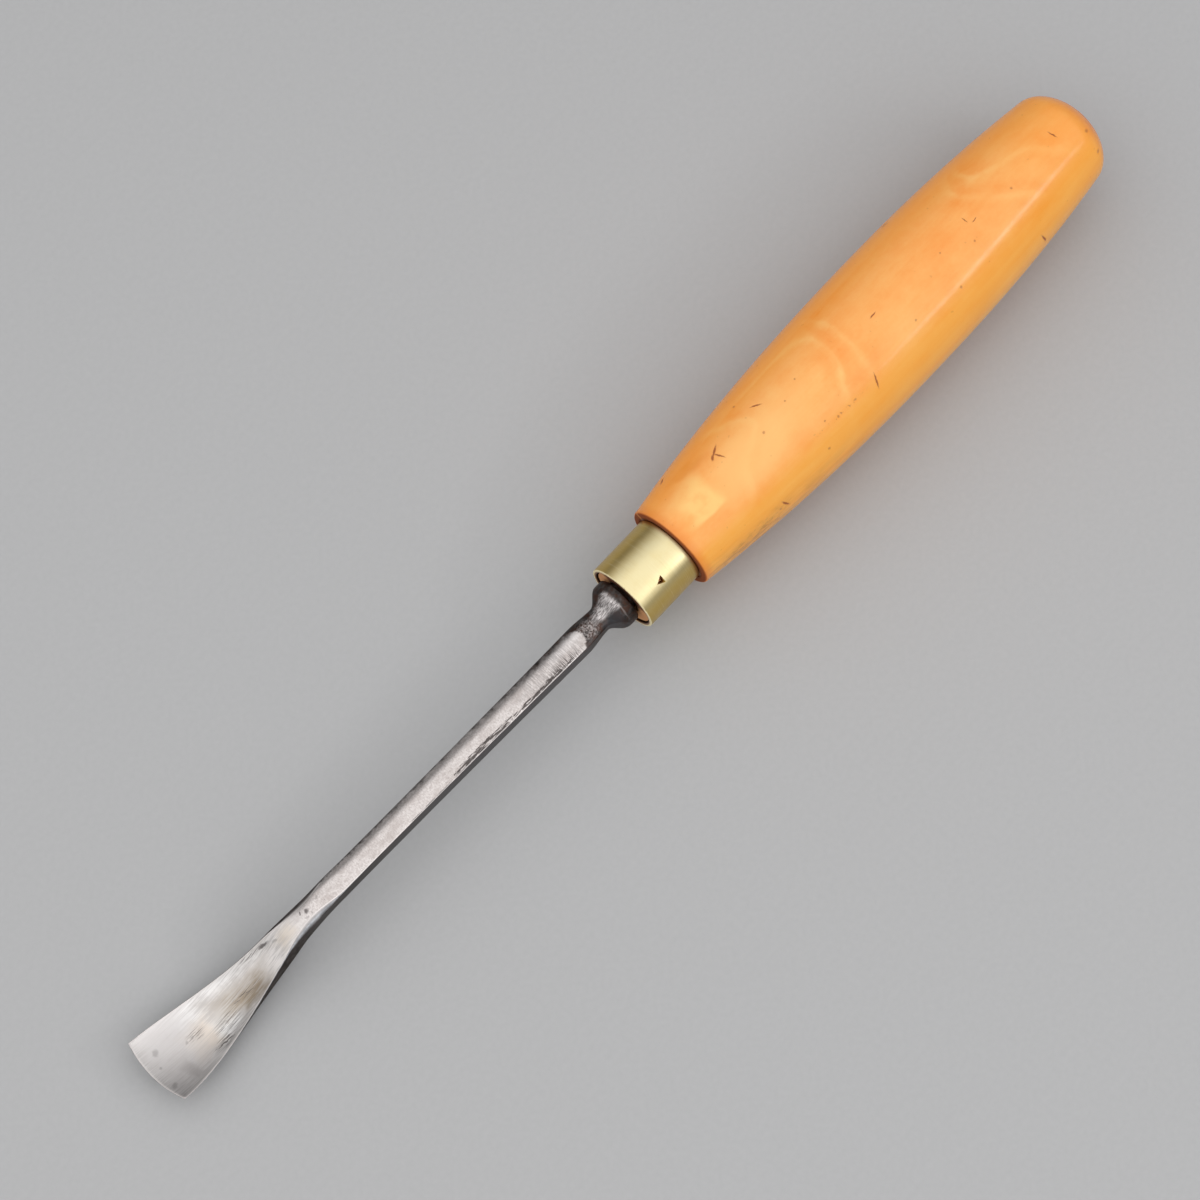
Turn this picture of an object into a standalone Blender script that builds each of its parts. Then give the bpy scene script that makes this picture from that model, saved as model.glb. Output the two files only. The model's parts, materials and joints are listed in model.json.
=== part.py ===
"""Spoon gouge: a forged carving gouge with a bent, spoon-shaped end, a turned boxwood handle and a brass ferrule.

Lengths are in metres. The pieces are modelled along the handle's axis: X runs towards the cutting edge, Z is up
out of the hollow, and X = 0 is the mouth of the ferrule. The finished tool then lies on a level surface, on the
belly of its handle and the back of its spoon, with the origin on that surface under the middle of its box.
"""
import math

import bmesh
import bpy
from mathutils import Vector

# Gap left between pieces that are driven together
FIT_CLEARANCE = 0.0003

# Ferrule: a plain tube with one three-sided punch mark
FERRULE_DIAMETER = 0.0149
FERRULE_LENGTH = 0.0134
FERRULE_WALL = 0.0008
FERRULE_EASE = 0.0002
PRICK_DISTANCE = 0.0061
PRICK_TURN = math.radians(36)
PRICK_SIZE = 0.0019
PRICK_DEPTH = 0.0016

# Handle: spigot inside the ferrule, flat shoulder, swelling grip and domed butt
SPIGOT_RECESS = 0.0009
SEAT_DEPTH = 0.0003
SHOULDER_LEDGE = 0.0018
SHOULDER_EASE = 0.0005
GRIP_LENGTH = 0.1189
GRIP_FULLNESS = 2.2
BELLY_DIAMETER = 0.0270
BELLY_DISTANCE = 0.0640
BUTT_DIAMETER = 0.0212
DOME_LENGTH = 0.0063

# Blade: how the forging sits in the handle
BLADE_YAW = math.radians(-1.15)
BLADE_OFFSET = -0.00022

# Blade: tang and bolster
TANG_LENGTH = 0.0480
TANG_ROOT_SIZE = 0.0050
TANG_TIP_SIZE = 0.0020
TANG_CORNER = 0.0003
BOLSTER_STANDOFF = 0.0002
BOLSTER_DIAMETER = 0.0098
BOLSTER_RIM = 0.0019
BOLSTER_EASE = 0.0005
BOLSTER_SWEEP = 0.0039
NECK_DIAMETER = 0.0047
NECK_ROUNDNESS = 0.5

# Blade: shank with a crowned top and underside, narrowest some way down
SHANK_RUN_IN = 0.0055
SHANK_LENGTH = 0.0840
SHANK_HEIGHT = 0.0051
SHANK_CROWN = 0.0004
SHANK_EASE = 0.00015
SHANK_ROOT_WIDTH = 0.0054
SHANK_WAIST_WIDTH = 0.0048
SHANK_WAIST_DISTANCE = 0.0640
SHANK_END_WIDTH = 0.0051

# Blade: heel of the bend, deeper than the shank and with its upper corners cut away
HEEL_RADIUS = 0.0142
HEEL_SWELL = 0.0020
HEEL_CORNER = 0.0007
HEEL_CREST = 0.0020
HEEL_RISE = 0.0100
HEEL_FALL = 0.0200

# Blade: spoon, which dips below the shank and rises again to the cutting edge
DIP_ANGLE = math.radians(33.7)
SPOON_RADIUS = 0.0318
LIFT_ANGLE = math.radians(24)
FLARE_DELAY = 1.1
SIDE_RUN_OUT = 0.0300
HOLLOW_RUN_IN = 0.0240
SWEEP_DEPTH = 0.0019
SPOON_THICKNESS = 0.0022
EDGE_WIDTH = 0.0148
EDGE_BOW = 0.0005
EDGE_BOW_GROWTH = 3
EDGE_THICKNESS = 0.00015
EDGE_EASE = 0.00005
BEVEL_LENGTH = 0.0065

# Fineness of the curved surfaces
ROUND_STEPS = 64
GRIP_STEPS = 26
DOME_STEPS = 8
EASE_STEPS = 3
SWEEP_STEPS = 9
SHANK_STEPS = 7
HEEL_STEPS = 5
SPOON_STEPS = 26
BEVEL_STEPS = 5
FACE_STEPS = 10
SIDE_STEPS = 4
SHARP_ANGLE = math.radians(28)
REST_STEPS = 12

# Sizes that follow from the ones above
SPIGOT_RADIUS = FERRULE_DIAMETER / 2 - FERRULE_WALL - FIT_CLEARANCE
SEAT_RADIUS = FERRULE_DIAMETER / 2 + FIT_CLEARANCE
SHOULDER_RADIUS = FERRULE_DIAMETER / 2 + SHOULDER_LEDGE
SEAT_X = -FERRULE_LENGTH - FIT_CLEARANCE
SHOULDER_X = SEAT_X + SEAT_DEPTH
DOME_START = GRIP_LENGTH - DOME_LENGTH
NECK_X = BOLSTER_STANDOFF + BOLSTER_RIM + BOLSTER_SWEEP
SHANK_X = NECK_X + SHANK_RUN_IN
SHANK_SIDE = SHANK_HEIGHT - 2 * SHANK_CROWN
HEEL_LENGTH = HEEL_RADIUS * DIP_ANGLE
SPOON_LENGTH = HEEL_LENGTH + SPOON_RADIUS * (DIP_ANGLE + LIFT_ANGLE)


def clear_scene():
    for item in list(bpy.data.objects):
        bpy.data.objects.remove(item, do_unlink=True)


def principled(name, colour, roughness, metallic):
    material = bpy.data.materials.new(name)
    material.use_nodes = True
    shader = material.node_tree.nodes["Principled BSDF"]
    shader.inputs["Base Color"].default_value = (*colour, 1.0)
    shader.inputs["Roughness"].default_value = roughness
    shader.inputs["Metallic"].default_value = metallic
    return material


def add_empty(name, parent=None):
    empty = bpy.data.objects.new(name, None)
    empty.parent = parent
    bpy.context.scene.collection.objects.link(empty)
    return empty


def add_piece(name, shape, parent, material=None, smooth=True):
    """Turn a bmesh into a named object, with its faces pointing out."""
    bmesh.ops.recalc_face_normals(shape, faces=shape.faces)
    mesh = bpy.data.meshes.new(name)
    shape.to_mesh(mesh)
    shape.free()
    if smooth:
        mesh.shade_smooth()
        mesh.set_sharp_from_angle(angle=SHARP_ANGLE)
    if material:
        mesh.materials.append(material)
    piece = bpy.data.objects.new(name, mesh)
    piece.parent = parent
    bpy.context.scene.collection.objects.link(piece)
    return piece


def cut(piece, cutter):
    cutter.hide_render = True
    cutter.display_type = "WIRE"
    difference = piece.modifiers.new(cutter.name, "BOOLEAN")
    difference.operation = "DIFFERENCE"
    difference.solver = "EXACT"
    difference.object = cutter


def smooth_step(value):
    share = min(max(value, 0.0), 1.0)
    return share * share * (3 - 2 * share)


def mix(start, end, share):
    return start + (end - start) * share


def revolve(profile, closed):
    """Turn an outline of (x, radius) points about the X axis."""
    shape = bmesh.new()
    points = [shape.verts.new((x, 0.0, radius)) for x, radius in profile]
    pairs = list(zip(points, points[1:]))
    if closed:
        pairs.append((points[-1], points[0]))
    edges = [shape.edges.new(pair) for pair in pairs]
    bmesh.ops.spin(shape, geom=points + edges, cent=(0, 0, 0), axis=(1, 0, 0), angle=math.tau,
                   steps=ROUND_STEPS, use_merge=True)
    bmesh.ops.remove_doubles(shape, verts=shape.verts, dist=1e-7)
    return shape


def grip_radius(distance):
    """Radius at a distance behind the shoulder: two curves that meet at the belly."""
    belly = BELLY_DIAMETER / 2
    if distance < BELLY_DISTANCE:
        end = SHOULDER_RADIUS
        reach = (BELLY_DISTANCE - distance) / BELLY_DISTANCE
    else:
        end = BUTT_DIAMETER / 2
        reach = (distance - BELLY_DISTANCE) / (DOME_START - BELLY_DISTANCE)
    return belly - (belly - end) * reach ** GRIP_FULLNESS


def dome_points():
    """Outline of the butt: part of an ellipse that carries on the slope of the grip."""
    radius = BUTT_DIAMETER / 2
    slope = GRIP_FULLNESS * (BELLY_DIAMETER / 2 - radius) / (DOME_START - BELLY_DISTANCE)
    first = math.atan(slope * DOME_LENGTH / radius)
    points = []
    for step in range(1, DOME_STEPS):
        angle = mix(first, math.pi / 2, step / DOME_STEPS)
        depth = DOME_LENGTH * (math.sin(angle) - math.sin(first)) / (1 - math.sin(first))
        points.append((DOME_START + depth, radius * math.cos(angle) / math.cos(first)))
    points.append((GRIP_LENGTH, 0.0))
    return points


def handle_profile():
    """Outline from the end of the spigot, over the shoulder and the grip, to the middle of the butt.

    The ferrule beds into a shallow seat, and the flat ring of the shoulder shows round it.
    """
    profile = [(-SPIGOT_RECESS, 0.0), (-SPIGOT_RECESS, SPIGOT_RADIUS)]
    profile += [(SEAT_X, SPIGOT_RADIUS), (SEAT_X, SEAT_RADIUS), (SHOULDER_X, SEAT_RADIUS)]
    for step in range(EASE_STEPS):
        angle = math.pi / 2 * step / EASE_STEPS
        distance = SHOULDER_EASE * (1 - math.cos(angle))
        radius = grip_radius(SHOULDER_EASE) - SHOULDER_EASE * (1 - math.sin(angle))
        profile.append((SHOULDER_X - distance, radius))
    for step in range(GRIP_STEPS + 1):
        distance = mix(SHOULDER_EASE, DOME_START, step / GRIP_STEPS)
        profile.append((SHOULDER_X - distance, grip_radius(distance)))
    profile += [(SHOULDER_X - distance, radius) for distance, radius in dome_points()]
    return profile


def ferrule_profile():
    outer = FERRULE_DIAMETER / 2
    inner = outer - FERRULE_WALL
    corners = [(0.0, outer - FERRULE_EASE), (-FERRULE_EASE, outer)]
    corners += [(-FERRULE_LENGTH + FERRULE_EASE, outer), (-FERRULE_LENGTH, outer - FERRULE_EASE)]
    corners += [(-FERRULE_LENGTH, inner), (-FERRULE_EASE, inner), (0.0, inner + FERRULE_EASE)]
    return corners


def prick_shape():
    """Three-sided point, driven in square to the ferrule's wall."""
    surface = FERRULE_DIAMETER / 2
    overshoot = 1.0
    base_size = PRICK_SIZE * (1 + overshoot)
    base_height = surface + PRICK_DEPTH * overshoot
    turn = (0.0, math.sin(PRICK_TURN), math.cos(PRICK_TURN))
    across = Vector((0.0, turn[2], -turn[1]))
    along = Vector((1.0, 0.0, 0.0))
    centre = Vector((-PRICK_DISTANCE, 0.0, 0.0))
    shape = bmesh.new()
    reach = base_size / math.sqrt(3)
    corners = []
    for index in range(3):
        angle = math.tau * index / 3
        spread = (along * math.cos(angle) + across * math.sin(angle)) * reach
        corners.append(shape.verts.new(centre + Vector(turn) * base_height + spread))
    point = shape.verts.new(centre + Vector(turn) * (surface - PRICK_DEPTH))
    shape.faces.new(corners)
    for index in range(3):
        shape.faces.new((corners[index], corners[(index + 1) % 3], point))
    return shape


def tang_size(x):
    """Side of the tang's square section, tapering from the bolster to its tip."""
    share = (BOLSTER_STANDOFF - x) / (BOLSTER_STANDOFF + TANG_LENGTH)
    return mix(TANG_ROOT_SIZE, TANG_TIP_SIZE, share)


def socket_shape():
    """The tapering square hole for the tang, wider and deeper by the clearance."""
    shape = bmesh.new()
    rings = []
    for x in (BOLSTER_STANDOFF, -TANG_LENGTH - FIT_CLEARANCE):
        half = tang_size(x) / 2 + FIT_CLEARANCE
        corners = [(x, half, half), (x, -half, half), (x, -half, -half), (x, half, -half)]
        rings.append([shape.verts.new(corner) for corner in corners])
        shape.faces.new(rings[-1])
    for index in range(4):
        following = (index + 1) % 4
        shape.faces.new((rings[0][index], rings[0][following], rings[1][following], rings[1][index]))
    return shape


def section(half_width, top, side, corner, hollow=0.0, crown=0.0, roundness=0.0):
    """One cross-section as (y, z) points, from the left end of the top face round to the left side.

    The top face sinks by the hollow and the underside bulges by the crown. Roundness blends the whole outline
    towards an ellipse of the same width and height.
    """
    face = half_width - corner
    bottom = top - side
    eased = corner / 2
    shares = [1 - 2 * step / FACE_STEPS for step in range(FACE_STEPS + 1)]
    heights = [mix(top - corner, bottom + corner, step / SIDE_STEPS) for step in range(SIDE_STEPS + 1)]
    points = [(face * share, top - hollow * (1 - share * share)) for share in shares]
    points.append((eased - half_width, top - eased))
    points += [(-half_width, height) for height in heights]
    points.append((eased - half_width, bottom + eased))
    points += [(-face * share, bottom - crown * (1 - share * share)) for share in shares]
    points.append((half_width - eased, bottom + eased))
    points += [(half_width, height) for height in reversed(heights)]
    points.append((half_width - eased, top - eased))
    count = len(points)
    middle = top - side / 2
    outline = []
    for index, (y, z) in enumerate(points):
        angle = math.pi / 2 + math.tau * (index - FACE_STEPS / 2) / count
        round_y = half_width * math.cos(angle)
        round_z = middle + side / 2 * math.sin(angle)
        outline.append((mix(y, round_y, roundness), mix(z, round_z, roundness)))
    return outline


def upright_ring(x, width, height, corner, roundness=0.0):
    outline = section(width / 2, height / 2, height, corner, roundness=roundness)
    return [Vector((x, y, z)) for y, z in outline]


def tang_rings():
    rings = []
    for x in (-TANG_LENGTH, BOLSTER_STANDOFF):
        size = tang_size(x)
        rings.append(upright_ring(x, size, size, TANG_CORNER))
    return rings


def bolster_rings():
    """Round collar with eased edges, swept in to a neck that is nearly square."""
    rings = []
    for x, diameter in ((BOLSTER_STANDOFF, BOLSTER_DIAMETER - 2 * BOLSTER_EASE),
                        (BOLSTER_STANDOFF + BOLSTER_EASE, BOLSTER_DIAMETER)):
        rings.append(upright_ring(x, diameter, diameter, BOLSTER_EASE, roundness=1.0))
    for step in range(SWEEP_STEPS + 1):
        share = step / SWEEP_STEPS
        x = BOLSTER_STANDOFF + BOLSTER_RIM + BOLSTER_SWEEP * share
        size = mix(BOLSTER_DIAMETER, NECK_DIAMETER, smooth_step(share))
        roundness = mix(1.0, NECK_ROUNDNESS, smooth_step(share))
        rings.append(upright_ring(x, size, size, BOLSTER_EASE, roundness))
    return rings


def run_in_ring():
    """Half way from the neck to the shank."""
    width = (NECK_DIAMETER + SHANK_ROOT_WIDTH) / 2
    height = (NECK_DIAMETER + SHANK_HEIGHT) / 2
    return upright_ring((NECK_X + SHANK_X) / 2, width, height, BOLSTER_EASE, NECK_ROUNDNESS)


def face_place(distance):
    """Place and slope of the upper edges, at a distance along them from the end of the straight shank."""
    top = SHANK_SIDE / 2
    if distance < 0:
        return SHANK_LENGTH + distance, top, 0.0
    if distance < HEEL_LENGTH:
        slope = -distance / HEEL_RADIUS
        x = SHANK_LENGTH - HEEL_RADIUS * math.sin(slope)
        z = top - HEEL_RADIUS * (1 - math.cos(slope))
        return x, z, slope
    slope = (distance - HEEL_LENGTH) / SPOON_RADIUS - DIP_ANGLE
    x = SHANK_LENGTH + HEEL_RADIUS * math.sin(DIP_ANGLE)
    x += SPOON_RADIUS * (math.sin(DIP_ANGLE) + math.sin(slope))
    z = top - HEEL_RADIUS * (1 - math.cos(DIP_ANGLE))
    z -= SPOON_RADIUS * (math.cos(slope) - math.cos(DIP_ANGLE))
    return x, z, slope


def body_width(distance):
    """Width of the blade: drawn in to a waist along the shank, then flared to the cutting edge."""
    if distance >= 0:
        flare = smooth_step((distance / SPOON_LENGTH) ** FLARE_DELAY)
        return mix(SHANK_END_WIDTH, EDGE_WIDTH, flare)
    from_waist = SHANK_LENGTH + distance - SHANK_WAIST_DISTANCE
    if from_waist < 0:
        reach = from_waist / (SHANK_WAIST_DISTANCE - SHANK_X)
        return mix(SHANK_WAIST_WIDTH, SHANK_ROOT_WIDTH, reach * reach)
    reach = from_waist / (SHANK_LENGTH - SHANK_WAIST_DISTANCE)
    return mix(SHANK_WAIST_WIDTH, SHANK_END_WIDTH, reach * reach)


def heel_share(distance):
    """How much of the heel's extra depth a place has: none on the shank, all at the crest, none in the spoon."""
    from_crest = distance - HEEL_CREST
    return smooth_step(1 + from_crest / HEEL_RISE) * smooth_step(1 - from_crest / HEEL_FALL)


def blade_section(distance):
    """Cross-section of shank and spoon: crowned, then hollow above and round below, with sides that thin away."""
    thin = smooth_step(distance / SIDE_RUN_OUT)
    heel = heel_share(distance)
    corner = mix(SHANK_EASE, EDGE_EASE, thin) + HEEL_CORNER * heel ** 2
    side = mix(SHANK_SIDE, EDGE_THICKNESS, thin) + HEEL_SWELL * heel
    hollow = mix(-SHANK_CROWN, SWEEP_DEPTH, smooth_step(distance / HOLLOW_RUN_IN))
    back = SWEEP_DEPTH + SPOON_THICKNESS - EDGE_THICKNESS
    ground = min((SPOON_LENGTH - distance) / BEVEL_LENGTH, 1.0)
    crown = mix(SWEEP_DEPTH, mix(SHANK_CROWN, back, thin), ground)
    return section(body_width(distance) / 2, 0.0, side, corner, hollow, crown)


def blade_ring(distance):
    """Set a cross-section square to the blade's curve, with the middle of the edge bowed forward."""
    x, z, slope = face_place(distance)
    forward = Vector((math.cos(slope), 0.0, math.sin(slope)))
    up = Vector((-math.sin(slope), 0.0, math.cos(slope)))
    half_width = body_width(distance) / 2
    bow = EDGE_BOW * max(distance / SPOON_LENGTH, 0.0) ** EDGE_BOW_GROWTH
    ring = []
    for y, height in blade_section(distance):
        advance = bow * (1 - (y / half_width) ** 2)
        ring.append(Vector((x, y, z)) + forward * advance + up * height)
    return ring


def spread(start, end, steps):
    """Evenly spaced values from the start up to, but not including, the end."""
    return [mix(start, end, step / steps) for step in range(steps)]


def blade_rings():
    heel_start = HEEL_CREST - HEEL_RISE
    bevel_start = SPOON_LENGTH - BEVEL_LENGTH
    distances = spread(SHANK_X - SHANK_LENGTH, heel_start, SHANK_STEPS)
    distances += spread(heel_start, 0.0, HEEL_STEPS)
    distances += spread(0.0, bevel_start, SPOON_STEPS)
    distances += spread(bevel_start, SPOON_LENGTH, BEVEL_STEPS)
    return [blade_ring(distance) for distance in distances + [SPOON_LENGTH]]


def cap(shape, ring):
    """Close the end of a loft with strips from its upper half to its lower half."""
    count = len(ring)
    half_side = SIDE_STEPS // 2 + 1
    last = FACE_STEPS + half_side
    mirror = 2 * FACE_STEPS + SIDE_STEPS + 4
    for index in range(-half_side - 1, last + 1):
        loop = (index, index + 1, mirror - index - 1, mirror - index)
        corners = dict.fromkeys(ring[position % count] for position in loop)
        shape.faces.new(list(corners))


def loft(rings):
    """Skin a row of rings of equally many points into one closed body."""
    shape = bmesh.new()
    rows = [[shape.verts.new(point) for point in ring] for ring in rings]
    count = len(rows[0])
    for row, following in zip(rows, rows[1:]):
        for index in range(count):
            nearby = (index + 1) % count
            shape.faces.new((row[index], row[nearby], following[nearby], following[index]))
    cap(shape, rows[0])
    cap(shape, rows[-1])
    return shape


def lowest(points, tilt):
    return min(points, key=lambda point: point.z * math.cos(tilt) - point.x * math.sin(tilt))


def lay_down(tool, rear, front):
    """Tilt the tool until its rear and front pieces touch one level surface, then centre it there."""
    bpy.context.view_layer.update()
    rear_points = [rear.matrix_world @ vertex.co for vertex in rear.data.vertices]
    front_points = [front.matrix_world @ vertex.co for vertex in front.data.vertices]
    tilt = 0.0
    for _ in range(REST_STEPS):
        back = lowest(rear_points, tilt)
        fore = lowest(front_points, tilt)
        tilt = math.atan2(fore.z - back.z, fore.x - back.x)
    tool.rotation_euler = (0.0, tilt, 0.0)
    turned = [tool.rotation_euler.to_matrix() @ point for point in rear_points + front_points]
    ends = [(min(point[axis] for point in turned), max(point[axis] for point in turned)) for axis in range(3)]
    tool.location = (-sum(ends[0]) / 2, -sum(ends[1]) / 2, -ends[2][0])


def main():
    clear_scene()
    boxwood = principled("boxwood", (0.82, 0.42, 0.12), 0.38, 0.0)
    brass = principled("brass", (0.72, 0.56, 0.22), 0.30, 1.0)
    steel = principled("steel", (0.55, 0.53, 0.51), 0.32, 1.0)

    tool = add_empty("tool")
    seat = add_empty("blade_seat", tool)
    seat.location.y = BLADE_OFFSET
    seat.rotation_euler.z = BLADE_YAW

    handle = add_piece("handle", revolve(handle_profile(), closed=False), tool, boxwood)
    ferrule = add_piece("ferrule", revolve(ferrule_profile(), closed=True), tool, brass)
    rings = tang_rings() + bolster_rings() + [run_in_ring()] + blade_rings()
    blade = add_piece("blade", loft(rings), seat, steel)

    cut(handle, add_piece("socket_cutter", socket_shape(), seat, smooth=False))
    prick = add_piece("prick_cutter", prick_shape(), tool, smooth=False)
    cut(handle, prick)
    cut(ferrule, prick)
    lay_down(tool, handle, blade)


main()
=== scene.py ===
"""Looks of the spoon gouge: fine meshes in the place of the solids, with materials, floor, light and camera.

Lengths are in metres. Each piece is built in the tool's own frame, where X runs along the handle towards the
cutting edge, Z is up out of the hollow and X = 0 is the mouth of the ferrule. It is then set where the solids
lie.
"""

import json
import math

import bmesh
import bpy
from mathutils import Matrix, Vector, noise


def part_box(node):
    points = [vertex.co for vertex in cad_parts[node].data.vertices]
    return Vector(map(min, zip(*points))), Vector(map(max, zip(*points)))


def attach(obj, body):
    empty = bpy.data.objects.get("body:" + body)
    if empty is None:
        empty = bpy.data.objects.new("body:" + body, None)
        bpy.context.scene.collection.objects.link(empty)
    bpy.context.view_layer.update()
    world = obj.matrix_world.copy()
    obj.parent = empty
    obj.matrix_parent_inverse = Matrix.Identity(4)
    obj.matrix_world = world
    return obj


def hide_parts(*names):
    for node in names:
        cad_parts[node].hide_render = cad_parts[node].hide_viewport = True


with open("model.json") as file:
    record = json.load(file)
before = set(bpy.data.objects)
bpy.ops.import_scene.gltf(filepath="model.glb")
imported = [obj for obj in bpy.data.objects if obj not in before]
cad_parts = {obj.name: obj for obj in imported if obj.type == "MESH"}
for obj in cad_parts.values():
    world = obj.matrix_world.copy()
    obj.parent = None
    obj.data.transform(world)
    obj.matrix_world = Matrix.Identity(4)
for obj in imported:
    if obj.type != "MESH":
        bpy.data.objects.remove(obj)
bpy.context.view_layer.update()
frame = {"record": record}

# Ferrule
FIT_CLEARANCE = 0.0003
FERRULE_DIAMETER = 0.0149
FERRULE_LENGTH = 0.0134
FERRULE_WALL = 0.0008
FERRULE_EASE = 0.0002
PRICK_DISTANCE = 0.0061
PRICK_TURN = math.radians(36)
PRICK_SIZE = 0.0019
PRICK_DEPTH = 0.0016

# Handle
SPIGOT_RECESS = 0.0004
SEAT_DEPTH = 0.0003
SHOULDER_LEDGE = 0.0018
SHOULDER_EASE = 0.0005
GRIP_LENGTH = 0.1189
GRIP_FULLNESS = 2.2
BELLY_DIAMETER = 0.0270
BELLY_DISTANCE = 0.0640
BUTT_DIAMETER = 0.0212
DOME_LENGTH = 0.0063
HANDLE_SWAY = 0.00004
SWAYS_ALONG = 40
SWAYS_AROUND = 110

# Blade
BLADE_YAW = math.radians(-1.15)
BLADE_OFFSET = -0.00022
TANG_LENGTH = 0.0480
TANG_ROOT_SIZE = 0.0050
TANG_TIP_SIZE = 0.0020
TANG_CORNER = 0.0003
BOLSTER_STANDOFF = 0.0002
BOLSTER_DIAMETER = 0.0098
BOLSTER_RIM = 0.0019
BOLSTER_EASE = 0.0005
BOLSTER_SWEEP = 0.0039
NECK_DIAMETER = 0.0047
NECK_ROUNDNESS = 0.5
FACET_HASTE = 1.8
SHANK_RUN_IN = 0.0055
SHANK_LENGTH = 0.0840
SHANK_HEIGHT = 0.0051
SHANK_CROWN = 0.0004
SHANK_EASE = 0.00015
SHANK_ROOT_WIDTH = 0.0054
SHANK_WAIST_WIDTH = 0.0048
SHANK_WAIST_DISTANCE = 0.0640
SHANK_END_WIDTH = 0.0051
HEEL_RADIUS = 0.0142
HEEL_SWELL = 0.0020
HEEL_CREST = 0.0020
HEEL_RISE = 0.0100
HEEL_FALL = 0.0200
DIP_ANGLE = math.radians(33.7)
SPOON_RADIUS = 0.0318
LIFT_ANGLE = math.radians(24)
FLARE_DELAY = 1.1
SIDE_RUN_OUT = 0.0300
HOLLOW_RUN_IN = 0.0240
SWEEP_DEPTH = 0.0019
SPOON_THICKNESS = 0.0022
EDGE_WIDTH = 0.0148
EDGE_BOW = 0.0005
EDGE_BOW_GROWTH = 3
EDGE_THICKNESS = 0.00015
EDGE_EASE = 0.00005
BEVEL_LENGTH = 0.0065
EDGE_WEAR = 0.0023
EDGE_WEAR_DROP = 0.42
EDGE_WEAR_CURVE = 2.0
EDGE_WEAR_END = 0.0060
EDGE_WEAR_RUN = 0.0180
WEDGE_SIZE = 0.0010
WEDGE_CREST = -0.0010
WEDGE_RISE = 0.0080
WEDGE_FALL = 0.0110

# Fineness of the meshes
ROUND_STEPS = 192
GRIP_STEPS = 200
DOME_STEPS = 28
EASE_STEPS = 6
SWEEP_STEPS = 24
SHANK_STEPS = 70
HEEL_STEPS = 14
SPOON_STEPS = 90
BEVEL_STEPS = 14
FACE_STEPS = 36
SIDE_STEPS = 8
SHARP_ANGLE = math.radians(28)

# Sizes that follow from the ones above
SPIGOT_RADIUS = FERRULE_DIAMETER / 2 - FERRULE_WALL - FIT_CLEARANCE
SEAT_RADIUS = FERRULE_DIAMETER / 2 + FIT_CLEARANCE
SHOULDER_RADIUS = FERRULE_DIAMETER / 2 + SHOULDER_LEDGE
SEAT_X = -FERRULE_LENGTH - FIT_CLEARANCE
SHOULDER_X = SEAT_X + SEAT_DEPTH
DOME_START = GRIP_LENGTH - DOME_LENGTH
NECK_X = BOLSTER_STANDOFF + BOLSTER_RIM + BOLSTER_SWEEP
SHANK_X = NECK_X + SHANK_RUN_IN
SHANK_SIDE = SHANK_HEIGHT - 2 * SHANK_CROWN
HEEL_LENGTH = HEEL_RADIUS * DIP_ANGLE
SPOON_LENGTH = HEEL_LENGTH + SPOON_RADIUS * (DIP_ANGLE + LIFT_ANGLE)

# Marks: the radius at which the handle is unrolled, a millimetre, and how much of a mark's reach is full
ARC_RADIUS = 0.0125
MILLI = 0.001
MARK_CORE = 0.35

# Camera: angles, distance from the ferrule's mouth, and where that mouth lies in the frame
VIEW_AZIMUTH = math.radians(132.4)
VIEW_ELEVATION = math.radians(71.4)
VIEW_DISTANCE = 0.700
FRAME_PIXELS = 1200
FOCAL_PIXELS = 3735
MOUTH_PIXEL = (622.0, 598.5)
SENSOR_WIDTH = 36.0
CLIP_START = 0.01

# Floor and light: soft lamps as left, right, bottom and top edges with a brightness, a strip and the room
FLOOR_REACH = 12.0
LAMP_HEIGHT = 1.0
LAMP_GAP = 0.01
SOFT_LAMPS = tuple(((-3.2, 1.50, -2.8, top), 0.325) for top in (0.45, 0.95, 2.00))
SOFT_LAMPS += (((0.70, 1.60, -2.0, -0.12), 0.34), ((1.60, 3.60, -3.6, -0.90), 0.60))
STRIP_EDGES = (0.80, 0.95, -0.32, 0.06)
STRIP_HEIGHT = 0.5
STRIP_RADIANCE = 9.0
ROOM_SHADE = (0.235, 0.235, 0.240)


def tool_place():
    """Where the tool lies: its axis is the shoulder's normal, and its ferrule gives the place."""
    axis = Vector(frame["record"]["mounts"][0]["axis"])
    low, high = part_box("ferrule")
    mouth = (low + high) / 2 + axis * FERRULE_LENGTH / 2
    return Matrix.Translation(mouth) @ Matrix.Rotation(math.atan2(-axis.z, axis.x), 4, "Y")


def smooth_step(value):
    share = min(max(value, 0.0), 1.0)
    return share * share * (3 - 2 * share)


def mix(start, end, share):
    return start + (end - start) * share


def spread(start, end, steps):
    """Evenly spaced values from the start up to, but not including, the end."""
    return [mix(start, end, step / steps) for step in range(steps)]


# Meshes

def mesh_object(name, points, faces, place):
    mesh = bpy.data.meshes.new(name)
    mesh.from_pydata(points, [], faces)
    shape = bmesh.new()
    shape.from_mesh(mesh)
    bmesh.ops.recalc_face_normals(shape, faces=shape.faces)
    shape.to_mesh(mesh)
    shape.free()
    piece = bpy.data.objects.new(name, mesh)
    piece.matrix_world = place
    bpy.context.scene.collection.objects.link(piece)
    return piece


def cut(piece, cutter):
    """Take the cutter's shape out of a piece for good."""
    difference = piece.modifiers.new("cut", "BOOLEAN")
    difference.operation = "DIFFERENCE"
    difference.solver = "EXACT"
    difference.object = cutter
    evaluated = piece.evaluated_get(bpy.context.evaluated_depsgraph_get())
    whole = piece.data
    piece.data = bpy.data.meshes.new_from_object(evaluated)
    piece.modifiers.clear()
    bpy.data.meshes.remove(whole)


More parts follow.
